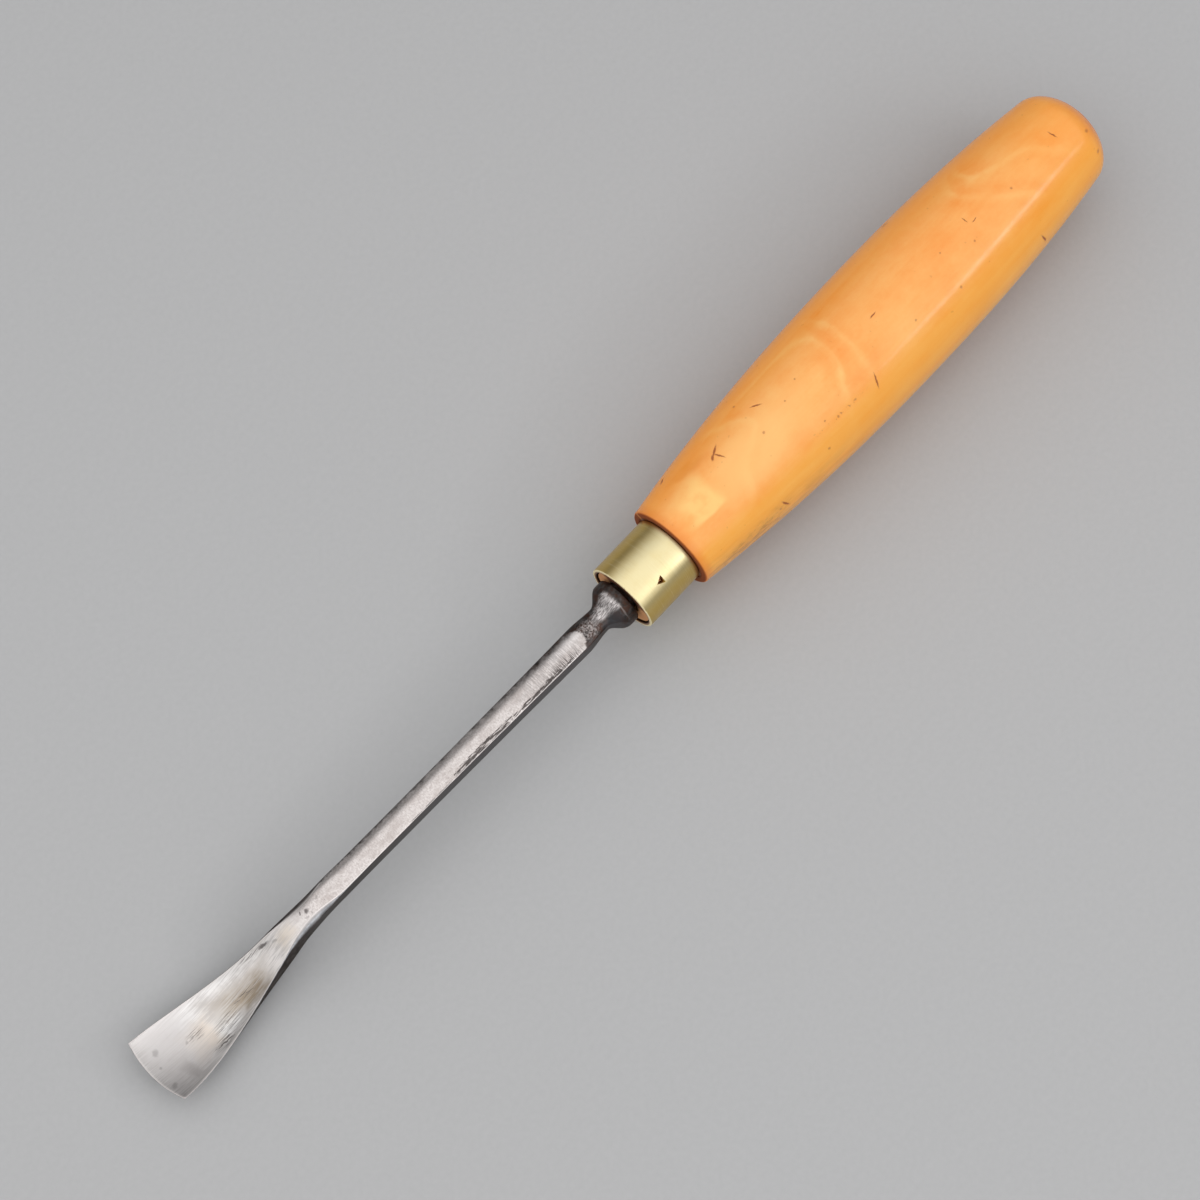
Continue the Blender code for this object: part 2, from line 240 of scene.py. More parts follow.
def dress(piece, node, material):
    """Let a piece stand for a solid, with its material and smooth shading."""
    piece.data.shade_smooth()
    piece.data.set_sharp_from_angle(angle=SHARP_ANGLE)
    piece.data.materials.clear()
    piece.data.materials.append(material)
    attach(piece, "root")
    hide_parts(node)


def lathe(profile, closed=False):
    """Points and faces of an outline of (x, radius) pairs turned about the X axis."""
    points = []
    rows = []
    for x, radius in profile:
        if radius == 0.0:
            rows.append([len(points)] * ROUND_STEPS)
            points.append(Vector((x, 0.0, 0.0)))
            continue
        rows.append(list(range(len(points), len(points) + ROUND_STEPS)))
        for step in range(ROUND_STEPS):
            angle = math.tau * step / ROUND_STEPS
            points.append(Vector((x, radius * math.sin(angle), radius * math.cos(angle))))
    if closed:
        rows.append(rows[0])
    faces = []
    for row, following in zip(rows, rows[1:]):
        for step in range(ROUND_STEPS):
            nearby = (step + 1) % ROUND_STEPS
            loop = dict.fromkeys((row[step], row[nearby], following[nearby], following[step]))
            faces.append(list(loop))
    return points, faces


# Handle

def grip_radius(distance):
    """Radius at a distance behind the shoulder: two curves that meet at the belly."""
    belly = BELLY_DIAMETER / 2
    if distance < BELLY_DISTANCE:
        end = SHOULDER_RADIUS
        reach = (BELLY_DISTANCE - distance) / BELLY_DISTANCE
    else:
        end = BUTT_DIAMETER / 2
        reach = (distance - BELLY_DISTANCE) / (DOME_START - BELLY_DISTANCE)
    return belly - (belly - end) * reach ** GRIP_FULLNESS


def dome_points():
    """Outline of the butt: part of an ellipse that carries on the slope of the grip."""
    radius = BUTT_DIAMETER / 2
    slope = GRIP_FULLNESS * (BELLY_DIAMETER / 2 - radius) / (DOME_START - BELLY_DISTANCE)
    first = math.atan(slope * DOME_LENGTH / radius)
    points = []
    for step in range(1, DOME_STEPS):
        angle = mix(first, math.pi / 2, step / DOME_STEPS)
        depth = DOME_LENGTH * (math.sin(angle) - math.sin(first)) / (1 - math.sin(first))
        points.append((DOME_START + depth, radius * math.cos(angle) / math.cos(first)))
    points.append((GRIP_LENGTH, 0.0))
    return points


def tang_size(x):
    share = (BOLSTER_STANDOFF - x) / (BOLSTER_STANDOFF + TANG_LENGTH)
    return mix(TANG_ROOT_SIZE, TANG_TIP_SIZE, share)


def bore_radius(x):
    """Radius of the hole that takes the tang, corners and all."""
    return tang_size(x) / math.sqrt(2) + FIT_CLEARANCE


def handle_profile():
    tip = -TANG_LENGTH - FIT_CLEARANCE
    profile = [(tip, 0.0), (tip, bore_radius(tip)), (-SPIGOT_RECESS, bore_radius(-SPIGOT_RECESS))]
    profile += [(-SPIGOT_RECESS, SPIGOT_RADIUS), (SEAT_X, SPIGOT_RADIUS)]
    profile += [(SEAT_X, SEAT_RADIUS), (SHOULDER_X, SEAT_RADIUS)]
    for step in range(EASE_STEPS):
        angle = math.pi / 2 * step / EASE_STEPS
        distance = SHOULDER_EASE * (1 - math.cos(angle))
        radius = grip_radius(SHOULDER_EASE) - SHOULDER_EASE * (1 - math.sin(angle))
        profile.append((SHOULDER_X - distance, radius))
    for distance in spread(SHOULDER_EASE, DOME_START, GRIP_STEPS) + [DOME_START]:
        profile.append((SHOULDER_X - distance, grip_radius(distance)))
    profile += [(SHOULDER_X - distance, radius) for distance, radius in dome_points()]
    return profile


def hand_worn(point):
    """Slight unevenness of a turned and handled surface."""
    if point.x > SHOULDER_X - SHOULDER_EASE:
        return point
    sway = noise.noise(Vector((point.x * SWAYS_ALONG, point.y * SWAYS_AROUND, point.z * SWAYS_AROUND)))
    outward = Vector((0.0, point.y, point.z)).normalized()
    return point + outward * (sway - 0.5) * HANDLE_SWAY


def make_handle(place):
    points, faces = lathe(handle_profile())
    return mesh_object("handle_looks", [hand_worn(point) for point in points], faces, place)


# Ferrule

def ferrule_profile():
    """Section of the tube, with its edges rounded."""
    outer = FERRULE_DIAMETER / 2
    inner = outer - FERRULE_WALL
    ease = FERRULE_EASE
    corners = [(-ease, outer - ease, 0), (-FERRULE_LENGTH + ease, outer - ease, 1)]
    corners += [(-FERRULE_LENGTH + ease, inner + ease, 2), (-ease, inner + ease, 3)]
    profile = []
    for x, radius, quarter in corners:
        for step in range(EASE_STEPS + 1):
            angle = math.pi / 2 * (quarter + step / EASE_STEPS)
            profile.append((x + ease * math.cos(angle), radius + ease * math.sin(angle)))
    return profile


def prick_cutter(place):
    """Three-sided point, driven in square to the ferrule's wall."""
    surface = FERRULE_DIAMETER / 2
    outward = Vector((0.0, math.sin(PRICK_TURN), math.cos(PRICK_TURN)))
    across = Vector((0.0, outward.z, -outward.y))
    along = Vector((1.0, 0.0, 0.0))
    centre = -along * PRICK_DISTANCE
    reach = 2 * PRICK_SIZE / math.sqrt(3)
    points = []
    for index in range(3):
        angle = math.tau * index / 3
        corner = (along * math.cos(angle) + across * math.sin(angle)) * reach
        points.append(centre + outward * (surface + PRICK_DEPTH) + corner)
    points.append(centre + outward * (surface - PRICK_DEPTH))
    return mesh_object("prick", points, [(0, 1, 2), (0, 1, 3), (1, 2, 3), (2, 0, 3)], place)


def make_ferrule(place):
    points, faces = lathe(ferrule_profile(), closed=True)
    return mesh_object("ferrule_looks", points, faces, place)


# Blade

def section(half_width, top, side, corner, hollow=0.0, crown=0.0, roundness=0.0):
    """One cross-section as (y, z) points, from the left end of the top face round to the left side.

    The top face sinks by the hollow and the underside bulges by the crown. Roundness blends the whole outline
    towards an ellipse of the same width and height.
    """
    face = half_width - corner
    bottom = top - side
    eased = corner / 2
    shares = [1 - 2 * step / FACE_STEPS for step in range(FACE_STEPS + 1)]
    heights = [mix(top - corner, bottom + corner, step / SIDE_STEPS) for step in range(SIDE_STEPS + 1)]
    points = [(face * share, top - hollow * (1 - share * share)) for share in shares]
    points.append((eased - half_width, top - eased))
    points += [(-half_width, height) for height in heights]
    points.append((eased - half_width, bottom + eased))
    points += [(-face * share, bottom - crown * (1 - share * share)) for share in shares]
    points.append((half_width - eased, bottom + eased))
    points += [(half_width, height) for height in reversed(heights)]
    points.append((half_width - eased, top - eased))
    count = len(points)
    middle = top - side / 2
    outline = []
    for index, (y, z) in enumerate(points):
        angle = math.pi / 2 + math.tau * (index - FACE_STEPS / 2) / count
        round_y = half_width * math.cos(angle)
        round_z = middle + side / 2 * math.sin(angle)
        outline.append((mix(y, round_y, roundness), mix(z, round_z, roundness)))
    return outline


def upright_ring(x, width, height, corner, roundness=0.0):
    outline = section(width / 2, height / 2, height, corner, roundness=roundness)
    return [Vector((x, y, z)) for y, z in outline]


def tang_rings():
    rings = []
    for x in (-TANG_LENGTH, BOLSTER_STANDOFF):
        size = tang_size(x)
        rings.append(upright_ring(x, size, size, TANG_CORNER))
    return rings


def bolster_rings():
    """Round collar with eased edges, swept in to a neck that is nearly square."""
    rings = []
    for step in range(EASE_STEPS + 1):
        angle = math.pi / 2 * step / EASE_STEPS
        x = BOLSTER_STANDOFF + BOLSTER_EASE * (1 - math.cos(angle))
        diameter = BOLSTER_DIAMETER - 2 * BOLSTER_EASE * (1 - math.sin(angle))
        rings.append(upright_ring(x, diameter, diameter, BOLSTER_EASE, roundness=1.0))
    for step in range(SWEEP_STEPS + 1):
        share = step / SWEEP_STEPS
        x = BOLSTER_STANDOFF + BOLSTER_RIM + BOLSTER_SWEEP * share
        size = mix(BOLSTER_DIAMETER, NECK_DIAMETER, smooth_step(share))
        roundness = mix(1.0, NECK_ROUNDNESS, smooth_step(share * FACET_HASTE))
        rings.append(upright_ring(x, size, size, BOLSTER_EASE, roundness))
    return rings


def face_place(distance):
    """Place and slope of the upper edges, at a distance along them from the end of the straight shank."""
    top = SHANK_SIDE / 2
    if distance < 0:
        return SHANK_LENGTH + distance, top, 0.0
    if distance < HEEL_LENGTH:
        slope = -distance / HEEL_RADIUS
        x = SHANK_LENGTH - HEEL_RADIUS * math.sin(slope)
        z = top - HEEL_RADIUS * (1 - math.cos(slope))
        return x, z, slope
    slope = (distance - HEEL_LENGTH) / SPOON_RADIUS - DIP_ANGLE
    x = SHANK_LENGTH + HEEL_RADIUS * math.sin(DIP_ANGLE)
    x += SPOON_RADIUS * (math.sin(DIP_ANGLE) + math.sin(slope))
    z = top - HEEL_RADIUS * (1 - math.cos(DIP_ANGLE))
    z -= SPOON_RADIUS * (math.cos(slope) - math.cos(DIP_ANGLE))
    return x, z, slope


def body_width(distance):
    """Width of the blade: drawn in to a waist along the shank, then flared to the cutting edge."""
    if distance >= 0:
        flare = smooth_step((distance / SPOON_LENGTH) ** FLARE_DELAY)
        return mix(SHANK_END_WIDTH, EDGE_WIDTH, flare)
    from_waist = SHANK_LENGTH + distance - SHANK_WAIST_DISTANCE
    if from_waist < 0:
        reach = from_waist / (SHANK_WAIST_DISTANCE - SHANK_X)
        return mix(SHANK_WAIST_WIDTH, SHANK_ROOT_WIDTH, reach * reach)
    reach = from_waist / (SHANK_LENGTH - SHANK_WAIST_DISTANCE)
    return mix(SHANK_WAIST_WIDTH, SHANK_END_WIDTH, reach * reach)


def hump(distance, crest, rise, fall):
    """Share that grows smoothly up to a crest along the blade and shrinks again after it."""
    from_crest = distance - crest
    return smooth_step(1 + from_crest / rise) * smooth_step(1 - from_crest / fall)


def wear_down(outline, half_width, side, wear):
    """Lower the left edge of a section by its wear, less and less down the side."""
    lowered = []
    for y, z in outline:
        reach = min(max((wear - half_width - y) / wear, 0.0), 1.0)
        height = min(max(1 + z / side, 0.0), 1.0)
        lowered.append((y, z - wear * EDGE_WEAR_DROP * reach ** EDGE_WEAR_CURVE * height))
    return lowered


def blade_section(distance):
    """Cross-section of shank and spoon: crowned, then hollow above, round below and thin at the sides."""
    thin = smooth_step(distance / SIDE_RUN_OUT)
    corner = mix(SHANK_EASE, EDGE_EASE, thin)
    corner += WEDGE_SIZE * hump(distance, WEDGE_CREST, WEDGE_RISE, WEDGE_FALL)
    side = mix(SHANK_SIDE, EDGE_THICKNESS, thin)
    side += HEEL_SWELL * hump(distance, HEEL_CREST, HEEL_RISE, HEEL_FALL)
    hollow = mix(-SHANK_CROWN, SWEEP_DEPTH, smooth_step(distance / HOLLOW_RUN_IN))
    back = SWEEP_DEPTH + SPOON_THICKNESS - EDGE_THICKNESS
    ground = min((SPOON_LENGTH - distance) / BEVEL_LENGTH, 1.0)
    crown = mix(SWEEP_DEPTH, mix(SHANK_CROWN, back, thin), ground)
    half_width = body_width(distance) / 2
    outline = section(half_width, 0.0, side, corner, hollow, crown)
    wear = EDGE_WEAR * min((EDGE_WEAR_END - distance) / EDGE_WEAR_RUN, 1.0)
    return wear_down(outline, half_width, side, wear) if wear > 0 else outline


def blade_ring(distance):
    """Set a cross-section square to the blade's curve, with the middle of the edge bowed forward."""
    x, z, slope = face_place(distance)
    forward = Vector((math.cos(slope), 0.0, math.sin(slope)))
    up = Vector((-math.sin(slope), 0.0, math.cos(slope)))
    half_width = body_width(distance) / 2
    bow = EDGE_BOW * max(distance / SPOON_LENGTH, 0.0) ** EDGE_BOW_GROWTH
    ring = []
    for y, height in blade_section(distance):
        advance = bow * (1 - (y / half_width) ** 2)
        ring.append(Vector((x, y, z)) + forward * advance + up * height)
    return ring


def run_in_rings():
    """From the neck, nearly round, to the crowned section that the shank keeps."""
    start = upright_ring(NECK_X, NECK_DIAMETER, NECK_DIAMETER, BOLSTER_EASE, NECK_ROUNDNESS)
    end = blade_ring(SHANK_X - SHANK_LENGTH)
    rings = []
    for step in range(1, SWEEP_STEPS):
        share = step / SWEEP_STEPS
        eased = smooth_step(share)
        ring = [first.lerp(last, eased) for first, last in zip(start, end)]
        for point in ring:
            point.x = mix(NECK_X, SHANK_X, share)
        rings.append(ring)
    return rings


def blade_rings():
    heel_start = HEEL_CREST - HEEL_RISE
    bevel_start = SPOON_LENGTH - BEVEL_LENGTH
    distances = spread(SHANK_X - SHANK_LENGTH, heel_start, SHANK_STEPS)
    distances += spread(heel_start, 0.0, HEEL_STEPS)
    distances += spread(0.0, bevel_start, SPOON_STEPS)
    distances += spread(bevel_start, SPOON_LENGTH, BEVEL_STEPS)
    return [blade_ring(distance) for distance in distances + [SPOON_LENGTH]]


def cap_faces(ring):
    """Close the end of a loft with strips from its upper half to its lower half."""
    count = len(ring)
    half_side = SIDE_STEPS // 2 + 1
    last = FACE_STEPS + half_side
    mirror = 2 * FACE_STEPS + SIDE_STEPS + 4
    faces = []
    for index in range(-half_side - 1, last + 1):
        loop = (index, index + 1, mirror - index - 1, mirror - index)
        faces.append(list(dict.fromkeys(ring[position % count] for position in loop)))
    return faces


def mark_faces(piece, count):
    """Values for the blade's material: 1 at the points of a face or an edge, and 0 elsewhere.

    The rim runs along both upper edges and takes in the cutting edge, which is the last ring's top face.
    """
    under = FACE_STEPS + SIDE_STEPS + 4
    zones = {"crest": range(FACE_STEPS + 1), "under": range(under, under + FACE_STEPS + 1),
             "wedge": (count - 1,), "rim": (0, FACE_STEPS)}
    rings = len(piece.data.vertices) // count
    for name, zone in zones.items():
        last = zones["crest"] if name == "rim" else zone
        values = [float(index in zone) for index in range(count)] * (rings - 1)
        values += [float(index in last) for index in range(count)]
        piece.data.attributes.new(name, "FLOAT", "POINT").data.foreach_set("value", values)


def make_blade(place):
    rings = tang_rings() + bolster_rings() + run_in_rings() + blade_rings()
    count = len(rings[0])
    points = [point for ring in rings for point in ring]
    rows = [list(range(index * count, (index + 1) * count)) for index in range(len(rings))]
    faces = cap_faces(rows[0]) + cap_faces(rows[-1])
    for row, following in zip(rows, rows[1:]):
        for index in range(count):
            nearby = (index + 1) % count
            faces.append((row[index], row[nearby], following[nearby], following[index]))
    seat = Matrix.Translation((0.0, BLADE_OFFSET, 0.0)) @ Matrix.Rotation(BLADE_YAW, 4, "Z")
    piece = mesh_object("blade_looks", points, faces, place @ seat)
    mark_faces(piece, count)
    return piece


# Materials

class Look:
    """A material's nodes, with short calls for the ones that are used often."""

    def __init__(self, name):
        self.material = bpy.data.materials.new(name)
        self.material.use_nodes = True
        self.tree = self.material.node_tree
        self.shader = self.tree.nodes["Principled BSDF"]

    def feed(self, socket, value):
        if isinstance(value, bpy.types.NodeSocket):
            self.tree.links.new(value, socket)
        else:
            socket.default_value = value

    def node(self, kind, inputs, **settings):
        node = self.tree.nodes.new(kind)
        for key, value in settings.items():
            setattr(node, key, value)
        for key, value in inputs.items():
            self.feed(node.inputs[key], value)
        return node

    def add(self, kind, inputs, output=0, **settings):
        return self.node(kind, inputs, **settings).outputs[output]

    def surface(self, **inputs):
        for key, value in inputs.items():
            self.feed(self.shader.inputs[key.replace("_", " ")], value)

    def math(self, operation, first, second=0.0, third=0.0):
        return self.add("ShaderNodeMath", {0: first, 1: second, 2: third}, operation=operation)

    def fold(self, operation, values):
        """Take several values together, one after another."""
        total = values[0]
        for value in values[1:]:
            total = self.math(operation, total, value)
        return total

    def times(self, *values):
        return self.fold("MULTIPLY", values)

    def plus(self, *values):
        return self.fold("ADD", values)

    def most(self, *values):
        return self.fold("MAXIMUM", values)

    def minus(self, first, second):
        return self.math("SUBTRACT", first, second)

    def centred(self, value):
        """Noise or shade, shifted so that its middle is 0."""
        return self.minus(value, 0.5)

    def apart(self, first, second):
        return self.math("ABSOLUTE", self.minus(first, second))

    def raised(self, base, value, amount):
        """The base plus an amount of the value."""
        return self.math("MULTIPLY_ADD", value, amount, base)

    def above(self, value, limit):
        """1 above the limit and 0 below it."""
        return self.math("GREATER_THAN", value, limit)

    def attribute(self, name):
        return self.add("ShaderNodeAttribute", {}, "Fac", attribute_name=name)

    def place(self):
        return self.add("ShaderNodeTexCoord", {}, "Object")

    def split(self, vector):
        return tuple(self.node("ShaderNodeSeparateXYZ", {0: vector}).outputs)

    def join(self, x, y, z):
        return self.add("ShaderNodeCombineXYZ", {0: x, 1: y, 2: z})

    def length(self, vector):
        return self.add("ShaderNodeVectorMath", {0: vector}, "Value", operation="LENGTH")

    def round_place(self):
        """The place, and the same as X, angle from the top and distance from the axis."""
        place = self.place()
        x, y, z = self.split(place)
        return place, x, self.math("ARCTAN2", y, z), self.length(self.join(0.0, y, z))

    def noise(self, vector, scale, detail=2, roughness=0.5, distortion=0.0):
        """Noise with one scale, or with three of them to stretch it."""
        if isinstance(scale, tuple):
            vector = self.add("ShaderNodeMapping", {"Vector": vector, "Scale": scale})
            scale = 1.0
        inputs = {"Vector": vector, "Scale": scale, "Detail": detail, "Roughness": roughness,
                  "Distortion": distortion}
        return self.add("ShaderNodeTexNoise", inputs)

    def remap(self, value, low, high, to_low=0.0, to_high=1.0, kind="LINEAR"):
        inputs = {"Value": value, "From Min": low, "From Max": high, "To Min": to_low, "To Max": to_high}
        return self.add("ShaderNodeMapRange", inputs, interpolation_type=kind)

    def fade(self, value, low, high, to_low=0.0, to_high=1.0):
        """Smooth step of a value from one level to another."""
        return self.remap(value, low, high, to_low, to_high, "SMOOTHSTEP")

    def sector(self, turn, start, end, to_start=0.0, to_end=1.0):
        """Smooth step of an angle, between two angles in degrees."""
        return self.fade(turn, math.radians(start), math.radians(end), to_start, to_end)

    def blend(self, share, first, second):
        """Mix of two colours, each from other nodes or as red, green and blue."""
        pair = [colour(*side) if isinstance(side, tuple) else side for side in (first, second)]
        return self.add("ShaderNodeMix", {0: share, 6: pair[0], 7: pair[1]}, 2, data_type="RGBA")

    def coat(self, base, *layers):
        """Colours laid over a base one after another, each as a mask, its strength and the colour."""
        for mask, strength, tint in layers:
            base = self.blend(self.times(mask, strength), base, tint)
        return base

    def ramp(self, value, stops):
        """Grey levels along a value, as (position, level) pairs."""
        node = self.node("ShaderNodeValToRGB", {0: value})
        elements = node.color_ramp.elements
        while len(elements) < len(stops):
            elements.new(0.5)
        for element, (position, level) in zip(elements, stops):
            element.position = position
            element.color = colour(level, level, level)
        return node.outputs[0]

    def curve(self, value, points):
        """Smooth curve through (input, output) pairs that all lie between 0 and 1."""
        node = self.node("ShaderNodeFloatCurve", {"Value": value})
        line = node.mapping.curves[0]
        line.points[0].location = points[0]
        line.points[1].location = points[-1]
        for place in points[1:-1]:
            line.points.new(*place)
        for point in line.points:
            point.handle_type = "AUTO_CLAMPED"
        node.mapping.update()
        return node.outputs[0]

    def near(self, vector, spot):
        """Place in the frame of a spot, which reaches from -1 to 1 both ways."""
        (x, y), length, width, turn = spot
        inputs = {"Vector": vector, "Location": (x, y, 0.0), "Rotation": (0.0, 0.0, turn),
                  "Scale": (length, width, 1.0)}
        return self.add("ShaderNodeMapping", inputs, vector_type="TEXTURE")

    def mark(self, vector, spot):
        """Soft-edged dash: middle, half length, half width and turn, in a flat frame."""
        return self.fade(self.length(self.near(vector, spot)), 1.0, MARK_CORE)

    def marks(self, vector, spots):
        """Strongest of several dashes."""
        return self.most(*[self.mark(vector, spot) for spot in spots])

    def patch(self, vector, spot, edge):
        """Square-cornered area, for larger stains."""
        along, across, _ = self.split(self.near(vector, spot))
        reach = self.most(self.math("ABSOLUTE", along), self.math("ABSOLUTE", across))
        return self.fade(reach, 1.0 + edge, 1.0 - edge)

    def warp(self, vector, scale, amount, detail=2):
        """Shift a place to and fro by noise, so that edges wander."""
        shift = self.add("ShaderNodeTexNoise", {"Vector": vector, "Scale": scale, "Detail": detail}, "Color")
        centred = self.add("ShaderNodeVectorMath", {0: shift, 1: (0.5, 0.5, 0.5)}, operation="SUBTRACT")
        inputs = {0: centred, 1: (amount, amount, amount), 2: vector}
        return self.add("ShaderNodeVectorMath", inputs, operation="MULTIPLY_ADD")

    def bump(self, height, distance):
        return self.add("ShaderNodeBump", {"Height": height, "Distance": distance})


def colour(red, green, blue):
    return (red, green, blue, 1.0)


# Spots for marks and patches: middle, half length, half width and turn

def area(x, y, length, width, turn=0.0):
    """Spot in a flat frame, from millimetres."""
    return (x * MILLI, y * MILLI), length * MILLI, width * MILLI, turn


def dash(start, end, width):
    """Spot along the line between two places, from millimetres."""
    along = Vector(end) - Vector(start)
    middle = (Vector(start) + Vector(end)) / 2
    return area(middle.x, middle.y, along.length / 2 + width, width, math.atan2(along.y, along.x))


def unrolled(x, turn):
    """Place on the handle's unrolled surface, from millimetres along it and degrees from the top."""
    return x, math.radians(turn) * ARC_RADIUS / MILLI


def nick(start, end, width):
    """Dash on the handle's unrolled surface."""
    return dash(unrolled(*start), unrolled(*end), width)


# Boxwood

# Nicks on the handle: start and end as millimetres from the mouth and degrees from the top, and half width
HANDLE_NICKS = (
    ((-31.8, -26.1), (-29.1, -18.6), 0.36), ((-29.9, -22), (-30.9, -8), 0.24),
    ((-29.6, -21), (-28.9, -17), 0.4), ((-41.2, -24.6), (-43.2, -17.2), 0.25),
    ((-62.2, 33), (-61, 49), 0.26), ((-21.6, -62), (-20.2, -56), 0.36),
    ((-33, 65), (-34.4, 78), 0.32), ((-87, -64.5), (-88.6, -62), 0.4),
    ((-106.8, 66), (-107.9, 83), 0.32), ((-121.5, -2), (-122.1, 10.5), 0.18),
    ((-96.2, -1.8), (-96.3, 5.2), 0.13), ((-96.8, 7.8), (-98.4, 6.9), 0.13),
    ((-69, 1.8), (-70.9, 0.9), 0.18),
)

# Specks on the handle: millimetres from the mouth, degrees from the top, and radius
HANDLE_SPECKS = (
    (-39, 2, 0.4), (-50.7, -10.2, 0.3), (-46.4, 56.5, 0.42), (-46.2, -3.3, 0.26), (-39.9, -39.9, 0.36),
    (-48.8, 33.5, 0.28), (-32.3, 73.2, 0.42), (-31.1, 85, 0.5), (-86.4, 38.3, 0.42), (-107.6, 11.5, 0.34),
    (-127.7, 27.8, 0.6), (-75.2, 29.3, 0.34), (-88, 6, 0.3), (-94.6, 19.6, 0.32), (-127.2, 55.3, 0.6),
)

# Growth rings that show on the handle, each as degrees from the top and millimetres from the mouth
GROWTH_RINGS = (
    ((-90, -18), (-46, -33.3), (-22, -38.2), (-10, -39), (-1, -36.1), (8, -32.6), (30, -30.3), (90, -26)),
    ((-90, -30), (-44, -42), (-39, -54), (-32, -57.9), (-19, -59.1), (-5, -59), (28, -56), (90, -50)),
    ((-90, -38), (-58, -52.7), (-52, -60), (-29, -63.1), (-9, -63.6), (35, -61.3), (90, -55)),
    ((-90, -110), (-40, -101.5), (-22, -99.2), (0, -103), (25, -109.2), (90, -124)),
    ((-90, -113), (-35, -104.1), (-21, -104.3), (-13, -109), (-7, -114.6), (3, -117.5), (26, -121.6),
     (90, -131)),
)
RING_STRENGTHS = (1.0, 1.25, 0.7, 0.8, 0.95)
RING_WAVES = 0.0046
RING_CONTRAST = 1.35
RINGS_BUTT = -0.135
RINGS_FRONT = -0.01

# Shades across a growth ring, from the butt side to the front: place and level
RING_SHADES = (
    (0.0, 0.5), (0.2, 0.47), (0.36, 0.37), (0.45, 0.44), (0.49, 0.64), (0.53, 0.7), (0.58, 0.58),
    (0.65, 0.44), (0.8, 0.47), (1.0, 0.5),
)
RING_REACH = 0.006
RING_STEP = 0.012

# Grain of the bare wood: mottling, fibres, clouds and flecks, each as scale, detail, roughness and strength
BARE_TONE = 0.48
WOOD_GRAIN = (
    ((133, 190, 190), 5, 0.62, 1.0), ((60, 1500, 1500), 3, 0.5, 0.2),
    (52, 3, 0.5, 0.7), (1300, 3, 0.6, 0.22),
)


def ring_distance(look, x, across, ring):
    """Distance in front of a growth ring, square to it."""
    run = RINGS_FRONT - RINGS_BUTT
    points = [(degrees / 180 + 0.5, (along * MILLI - RINGS_BUTT) / run) for degrees, along in ring]
    shifts = (-RING_STEP, 0.0, RING_STEP)
    before, line, after = (look.curve(look.plus(across, shift), points) for shift in shifts)
    slope = look.times(look.minus(after, before), run / (2 * RING_STEP * math.pi * ARC_RADIUS))
    ahead = look.minus(x, look.remap(line, 0.0, 1.0, RINGS_BUTT, RINGS_FRONT))
    return look.math("DIVIDE", ahead, look.math("SQRT", look.raised(1.0, slope, slope)))


def growth_rings(look, place, x, turn):
    """Light lines with darker wood beside them, where the turned surface cuts the growth rings."""
    wavy = look.raised(x, look.centred(look.noise(place, 150, 4)), RING_WAVES)
    across = look.remap(turn, -math.pi / 2, math.pi / 2)
    tone = 0.0
    for ring, strength in zip(GROWTH_RINGS, RING_STRENGTHS):
        distance = look.remap(ring_distance(look, wavy, across, ring), -RING_REACH, RING_REACH)
        tone = look.raised(tone, look.centred(look.ramp(distance, RING_SHADES)), strength)
    shown = look.fade(look.apart(turn, -0.15), 0.45, 1.1, 1.0, 0.2)
    return look.times(tone, shown, look.fade(look.noise(place, 230), 0.3, 0.65, 0.45, 1.15))


def wood_tone(look, place, x, turn):
    """Lightness of the bare wood: growth rings, long streaks down the right side, and grain."""
    tone = look.raised(BARE_TONE, growth_rings(look, place, x, turn), RING_CONTRAST)
    streak = look.centred(look.noise(place, (14, 420, 420), 4, 0.6))
    tone = look.raised(tone, streak, look.sector(turn, 30, 55, 0.1, 1.6))
    for scale, detail, roughness, strength in WOOD_GRAIN:
        grain = look.centred(look.noise(place, scale, detail, roughness))
        tone = look.raised(tone, grain, strength)
    return tone


def pale_corner(look, flat):
    """Yellow patch near the ferrule: clear-cut towards the butt and the right, fading on the other sides."""
    along, around, _ = look.split(look.warp(flat, 170, 0.0034, 1.5))
    turn = look.math("DIVIDE", around, ARC_RADIUS)
    cloud = look.fade(look.noise(flat, 190, 3), 0.34, 0.56, 0.45, 1.0)
    return look.times(
        look.fade(along, -0.0258, -0.0236),
        look.fade(along, -0.015, -0.0198),
        look.sector(turn, -36, -6),
        look.sector(turn, 24, 18),
        cloud)


def handle_patches(look, wood, flat, x, turn):
    """Paler towards the ferrule with a yellow and a brown patch, painted light on the right, warmer at the
    back.
    """
    wandering = look.warp(flat, 230, 0.003)
    pale = look.mark(wandering, nick((-46, -3), (-25, 14), 7.5))
    # Painted light: a deeper, more saturated orange down the right side, in place of the stronger light there
    right_side_light = look.times(look.sector(turn, 22, 60), look.sector(turn, 130, 80))
    brown = look.mark(wandering, nick((-28.5, -25), (-20.5, -45), 2.4))
    return look.coat(
        wood,
        (pale, 0.65, (1.0, 0.56, 0.19)),
        (right_side_light, 0.6, (1.0, 0.44, 0.046)),
        (pale_corner(look, flat), 0.85, (1.0, 0.62, 0.205)),
        (brown, 0.4, (0.8, 0.25, 0.028)),
        (look.fade(x, -0.104, -0.126), 0.32, (1.0, 0.38, 0.04)))


